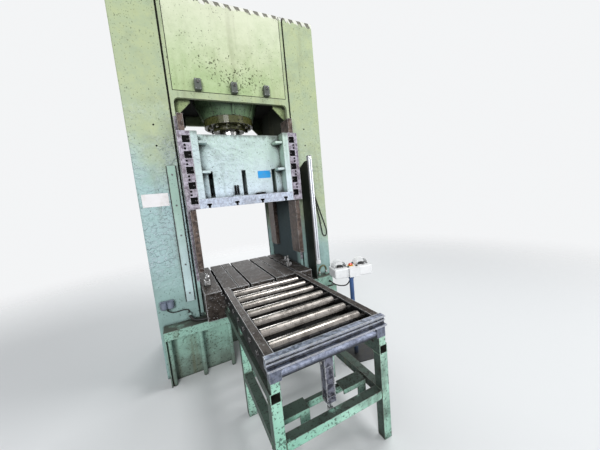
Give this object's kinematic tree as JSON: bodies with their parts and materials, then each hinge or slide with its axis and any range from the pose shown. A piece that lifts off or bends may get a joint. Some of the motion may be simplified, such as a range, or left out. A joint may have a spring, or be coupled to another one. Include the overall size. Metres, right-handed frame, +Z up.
{
  "type": "hydraulic press",
  "caption": "Tall closed-frame hydraulic press with a guided slide, slotted bolster, a docked roller table and a two-hand control stand.",
  "frame": {"origin": "on the floor, at the middle of the machine's outer box", "axes": "+Z up, +X across the press to the operator's right, -Y towards the operator and the roller table"},
  "size_m": [2.06, 2.62, 3.76],
  "materials": {
    "pale_green": "semi-gloss enamel, worn and speckled",
    "mint_green": "aged enamel with chips",
    "slide_green": "pale enamel with oil stains",
    "bare_steel": "ground steel with an oil film",
    "oily_steel": "dark oily machined steel",
    "greasy_brown": "guide steel under brown grease",
    "roller_steel": "polished by use, with brown streaks",
    "olive": "oily olive paint",
    "dark_paint": "dark matt paint",
    "grey_box": "grey cast housing",
    "aluminium": "anodised extrusion",
    "black_rubber": "cable jacket",
    "white_paint": "off-white powder coat",
    "blue_paint": "blue enamel",
    "red_plastic": "red moulded cap",
    "black_plastic": "black moulded cap"
  },
  "bodies": {
    "frame": {"left_upright": "pale_green", "right_upright": "pale_green", "crown": "mint_green", "crown_cover": "pale_green", "front_frame_plate": "pale_green", "rear_frame_plate": "mint_green", "bed": "mint_green", "left_step": "mint_green", "right_step": "mint_green", "bolster": "oily_steel", "cylinder_barrel": "dark_paint", "cylinder_housing": "mint_green", "cylinder_gland": "olive", "gib_rail_front_left": "greasy_brown", "gib_rail_front_right": "greasy_brown", "gib_rail_rear_left": "greasy_brown", "gib_rail_rear_right": "greasy_brown", "edge_strip_left": "bare_steel", "edge_strip_right": "bare_steel", "switch_box_left": "grey_box", "switch_box_middle": "grey_box", "switch_box_right": "grey_box", "guard_bar_left": "mint_green", "guard_wing_right": "dark_paint", "light_curtain": "aluminium", "curtain_plug": "white_paint", "curtain_cable": "black_rubber", "socket_pair": "grey_box", "socket_cable": "black_rubber", "drain_hose": "black_rubber", "valve_block": "mint_green", "valve_hose": "olive", "die_clamp_left": "bare_steel", "die_clamp_right": "bare_steel", "side_rail_left": "oily_steel", "side_rail_right": "oily_steel", "stop_bar": "bare_steel", "front_tube": "bare_steel", "table_stand": "mint_green", "air_cylinder": "aluminium", "console_post": "blue_paint", "console_box": "white_paint", "console_cable": "black_rubber"},
    "slide": {"piston_rod": "bare_steel", "slide_body": "slide_green", "slide_platen": "bare_steel", "guide_plate_left": "bare_steel", "guide_plate_right": "bare_steel"},
    "air_rod_body": {"air_rod": "bare_steel"},
    "palm_left": {"palm_button_left": "black_plastic"},
    "palm_right": {"palm_button_right": "black_plastic"},
    "emergency_stop": {"stop_button": "red_plastic"},
    "roller_body_1": {"roller_1": "roller_steel"},
    "roller_body_2": {"roller_2": "roller_steel"},
    "roller_body_3": {"roller_3": "roller_steel"},
    "roller_body_4": {"roller_4": "roller_steel"},
    "roller_body_5": {"roller_5": "roller_steel"},
    "roller_body_6": {"roller_6": "roller_steel"},
    "roller_body_7": {"roller_7": "roller_steel"}
  },
  "joints": [
    {"name": "slide_stroke", "type": "slide", "parent": "frame", "child": "slide", "axis": [0, 0, 1], "range_m": [-0.58, 0.06]},
    {"name": "air_rod_stroke", "type": "slide", "parent": "frame", "child": "air_rod_body", "axis": [0, 0, 1], "range_m": [-0.1, 0]},
    {"name": "roller_spin_1", "type": "hinge", "parent": "frame", "child": "roller_body_1", "pos_m": [0, -0.095, 0.84], "axis": [1, 0, 0], "continuous": true},
    {"name": "roller_spin_2", "type": "hinge", "parent": "frame", "child": "roller_body_2", "pos_m": [0, -0.263, 0.84], "axis": [1, 0, 0], "continuous": true},
    {"name": "roller_spin_3", "type": "hinge", "parent": "frame", "child": "roller_body_3", "pos_m": [0, -0.431, 0.84], "axis": [1, 0, 0], "continuous": true},
    {"name": "roller_spin_4", "type": "hinge", "parent": "frame", "child": "roller_body_4", "pos_m": [0, -0.599, 0.84], "axis": [1, 0, 0], "continuous": true},
    {"name": "roller_spin_5", "type": "hinge", "parent": "frame", "child": "roller_body_5", "pos_m": [0, -0.767, 0.84], "axis": [1, 0, 0], "continuous": true},
    {"name": "roller_spin_6", "type": "hinge", "parent": "frame", "child": "roller_body_6", "pos_m": [0, -0.935, 0.84], "axis": [1, 0, 0], "continuous": true},
    {"name": "roller_spin_7", "type": "hinge", "parent": "frame", "child": "roller_body_7", "pos_m": [0, -1.103, 0.84], "axis": [1, 0, 0], "continuous": true},
    {"name": "palm_press_left", "type": "slide", "parent": "frame", "child": "palm_left", "axis": [0, 0, 1], "range_m": [-0.006, 0], "stiffness_N_per_m": 600, "springref_m": 0.004},
    {"name": "palm_press_right", "type": "slide", "parent": "frame", "child": "palm_right", "axis": [0, 0, 1], "range_m": [-0.006, 0], "stiffness_N_per_m": 600, "springref_m": 0.004},
    {"name": "stop_press", "type": "slide", "parent": "frame", "child": "emergency_stop", "axis": [0, 0, 1], "range_m": [-0.005, 0], "stiffness_N_per_m": 600, "springref_m": 0.004}
  ]
}
